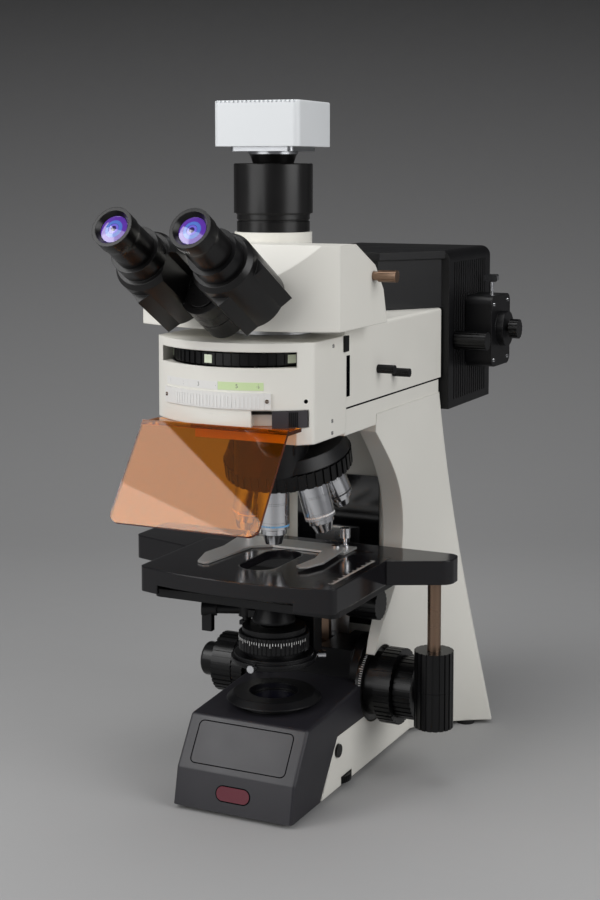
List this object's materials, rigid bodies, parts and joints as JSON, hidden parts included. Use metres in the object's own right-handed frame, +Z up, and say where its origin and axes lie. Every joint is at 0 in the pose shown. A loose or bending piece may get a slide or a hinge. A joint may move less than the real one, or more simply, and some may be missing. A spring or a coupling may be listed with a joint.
{
  "type": "fluorescence microscope",
  "caption": "Upright fluorescence microscope with trinocular head, filter turret, orange shield, rear lamp house, mechanical stage, swing-out condenser and camera.",
  "frame": {"origin": "on the bench below the middle of the whole outline; the optical axis stands at x = 7.2, y = -67.5 mm", "axes": "+X to the user's right, +Y to the rear, +Z up; the user sits on the -Y side"},
  "size_m": [0.3096, 0.5727, 0.621],
  "materials": {
    "white_cast": "white powder coat",
    "black_cast": "black powder coat",
    "black_cover": "fine texture",
    "black_gloss": "gloss",
    "black_knob": "satin",
    "steel": "bright",
    "chrome": "polished",
    "brass": "bright",
    "rubber": "matte",
    "orange": "clear orange acrylic",
    "glass": "clear",
    "silver": "satin anodised",
    "grey": "satin"
  },
  "bodies": {
    "stand": {"base_cover": "black_cover", "bottom_plate_and_feet": "rubber", "field_lens_ring": "black_cast", "stand_frame": "white_cast", "column_plate": "black_gloss", "base_lamp": "silver", "focus_housing": "black_cast", "focus_guide": "steel", "nosepiece_mount": "black_cast", "turret_housing": "white_cast", "illuminator_tube": "white_cast", "strip_cover": "grey", "shield": "orange", "head_body": "white_cast", "eyepiece_pin": "steel", "phototube": "black_cast", "camera_adapter": "black_cast", "camera_body": "white_cast", "lamp_house": "black_cast", "burner": "silver", "socket_box": "black_cast"},
    "stage_lift": {"focus_carriage": "black_cast", "focus_rack": "brass", "stage_frame": "black_cast"},
    "stage_slide": {"stage_top": "black_cast", "x_drive_housing": "black_cast"},
    "holder": {"specimen_holder": "steel", "holder_screws": "chrome"},
    "finger": {"holder_finger": "steel"},
    "y_knob": {"y_drive_knob": "black_knob"},
    "x_knob": {"x_drive_knob": "black_knob"},
    "coarse": {"coarse_drive": "black_knob"},
    "fine": {"fine_drive": "black_knob"},
    "tension": {"tension_ring": "black_knob"},
    "lock": {"focus_lock_ring": "black_knob"},
    "condenser": {"condenser_carrier": "black_cast", "centring_screws": "chrome", "condenser_body": "black_cast"},
    "aperture": {"aperture_ring": "black_cast"},
    "swing": {"swing_lens_arm": "black_cast"},
    "condenser_drive": {"condenser_knob": "black_knob"},
    "revolver": {"nosepiece": "black_cast", "objectives": "chrome"},
    "turret": {"filter_turret": "black_knob", "filter_cubes": "black_cast"},
    "field_knob": {"field_iris": "black_knob"},
    "aperture_knob": {"aperture_iris": "black_knob"},
    "shutter": {"shutter_slider": "black_knob"},
    "splitter": {"beam_splitter": "brass"},
    "right_eye": {"right_tube_block": "black_cast", "right_eyepiece": "black_cast"},
    "left_eye": {"left_tube_block": "black_cast", "left_eyepiece": "black_cast"},
    "diopter": {"diopter_ring": "black_knob"},
    "collector": {"collector_lens": "glass"},
    "collector_drive": {"collector_knob": "black_knob"},
    "lamp_knob": {"lamp_centring_knob": "black_knob"},
    "clamp": {"lamp_clamp_screw": "chrome"},
    "button": {"lamp_button": "black_knob"},
    "dial": {"brightness_wheel": "black_knob"}
  },
  "joints": [
    {"name": "focus_slide", "type": "slide", "parent": "stand", "child": "stage_lift", "axis": [0, 0, 1], "range_m": [-0.022, 0.005]},
    {"name": "coarse_spin", "type": "hinge", "parent": "stand", "child": "coarse", "pos_m": [0.0072, 0.0305, 0.077], "axis": [1, 0, 0], "range_deg": [-198, 46]},
    {"name": "fine_spin", "type": "hinge", "parent": "stand", "child": "fine", "pos_m": [0.0072, 0.0305, 0.077], "axis": [1, 0, 0], "continuous": true},
    {"name": "tension_turn", "type": "hinge", "parent": "stand", "child": "tension", "pos_m": [0.0072, 0.0305, 0.077], "axis": [1, 0, 0], "range_deg": [-30, 60]},
    {"name": "lock_turn", "type": "hinge", "parent": "stand", "child": "lock", "pos_m": [0.0072, 0.0305, 0.077], "axis": [1, 0, 0], "range_deg": [-30, 60]},
    {"name": "stage_y_slide", "type": "slide", "parent": "stage_lift", "child": "stage_slide", "axis": [0, 1, 0], "range_m": [-0.027, 0.012]},
    {"name": "y_knob_spin", "type": "hinge", "parent": "stage_slide", "child": "y_knob", "pos_m": [0.1352, 0.0025, 0.089], "axis": [0, 0, 1], "range_deg": [-195, 130]},
    {"name": "holder_x_slide", "type": "slide", "parent": "stage_slide", "child": "holder", "axis": [1, 0, 0], "range_m": [-0.039, 0.039]},
    {"name": "x_knob_spin", "type": "hinge", "parent": "stage_slide", "child": "x_knob", "pos_m": [0.1352, 0.0025, 0.089], "axis": [0, 0, 1], "range_deg": [-281, 281]},
    {"name": "finger_swing", "type": "hinge", "parent": "holder", "child": "finger", "pos_m": [0.0472, -0.0205, 0.216], "axis": [0, 0, 1], "range_deg": [0, 25], "stiffness_Nm_per_rad": 0.02},
    {"name": "condenser_slide", "type": "slide", "parent": "stage_lift", "child": "condenser", "axis": [0, 0, 1], "range_m": [-0.004, 0.014]},
    {"name": "condenser_knob_spin", "type": "hinge", "parent": "stage_lift", "child": "condenser_drive", "pos_m": [0.0572, -0.0015, 0.162], "axis": [1, 0, 0], "range_deg": [-127, 38]},
    {"name": "aperture_turn", "type": "hinge", "parent": "condenser", "child": "aperture", "pos_m": [0.0072, -0.0675, 0.14], "axis": [0, 0, 1], "range_deg": [-60, 60]},
    {"name": "top_lens_swing", "type": "hinge", "parent": "condenser", "child": "swing", "pos_m": [-0.0228, -0.0635, 0.165], "axis": [0, 0, 1], "range_deg": [-75, 0]},
    {"name": "nosepiece_turn", "type": "hinge", "parent": "stand", "child": "revolver", "pos_m": [0.0072, -0.03466, 0.2858], "axis": [0, -0.2588, 0.9659], "continuous": true},
    {"name": "turret_turn", "type": "hinge", "parent": "stand", "child": "turret", "pos_m": [0.0072, -0.105, 0.404], "axis": [0, 0, 1], "continuous": true},
    {"name": "field_iris_turn", "type": "hinge", "parent": "stand", "child": "field_knob", "pos_m": [0.0872, -0.0015, 0.381], "axis": [1, 0, 0], "range_deg": [-60, 60]},
    {"name": "aperture_iris_turn", "type": "hinge", "parent": "stand", "child": "aperture_knob", "pos_m": [0.0872, 0.0345, 0.374], "axis": [1, 0, 0], "range_deg": [-60, 60]},
    {"name": "shutter_slide", "type": "hinge", "parent": "stand", "child": "shutter", "pos_m": [0.0072, -0.07578, 0.355], "axis": [0, 0, 1], "range_deg": [-9, 0]},
    {"name": "splitter_slide", "type": "slide", "parent": "stand", "child": "splitter", "axis": [1, 0, 0], "range_m": [0, 0.02]},
    {"name": "right_eyepiece_swing", "type": "hinge", "parent": "stand", "child": "right_eye", "pos_m": [0.0072, -0.1657, 0.4427], "axis": [0, -0.866, 0.5], "range_deg": [-10, 26]},
    {"name": "left_eyepiece_swing", "type": "hinge", "parent": "stand", "child": "left_eye", "pos_m": [0.0072, -0.1657, 0.4427], "axis": [0, -0.866, 0.5], "range_deg": [-26, 10]},
    {"name": "diopter_turn", "type": "hinge", "parent": "right_eye", "child": "diopter", "pos_m": [0.0422, -0.1615, 0.45], "axis": [0, -0.866, 0.5], "range_deg": [-30, 30]},
    {"name": "collector_slide", "type": "slide", "parent": "stand", "child": "collector", "axis": [0, 1, 0], "range_m": [-0.006, 0.006]},
    {"name": "collector_knob_turn", "type": "hinge", "parent": "stand", "child": "collector_drive", "pos_m": [0.0972, 0.1825, 0.39], "axis": [1, 0, 0], "range_deg": [-62, 62]},
    {"name": "lamp_centring_turn", "type": "hinge", "parent": "stand", "child": "lamp_knob", "pos_m": [0.1172, 0.2405, 0.398], "axis": [1, 0, 0], "range_deg": [-90, 90]},
    {"name": "lamp_clamp_turn", "type": "hinge", "parent": "stand", "child": "clamp", "pos_m": [0.1012, 0.2505, 0.44], "axis": [0, 0, 1], "range_deg": [-90, 90]},
    {"name": "lamp_button_press", "type": "slide", "parent": "stand", "child": "button", "axis": [1, 0, 0], "range_m": [-0.002, 0], "stiffness_N_per_m": 300},
    {"name": "brightness_turn", "type": "hinge", "parent": "stand", "child": "dial", "pos_m": [0.051, -0.0365, 0.008], "axis": [0, 0, 1], "range_deg": [-135, 135]}
  ],
  "couplings": [
    {"joint": "coarse_spin", "follows": "focus_slide", "rad_per_m": 156.25},
    {"joint": "y_knob_spin", "follows": "stage_y_slide", "rad_per_m": 125},
    {"joint": "x_knob_spin", "follows": "holder_x_slide", "rad_per_m": 125},
    {"joint": "condenser_knob_spin", "follows": "condenser_slide", "rad_per_m": -156.25},
    {"joint": "left_eyepiece_swing", "follows": "right_eyepiece_swing", "ratio": -1},
    {"joint": "collector_knob_turn", "follows": "collector_slide", "rad_per_m": 175}
  ]
}
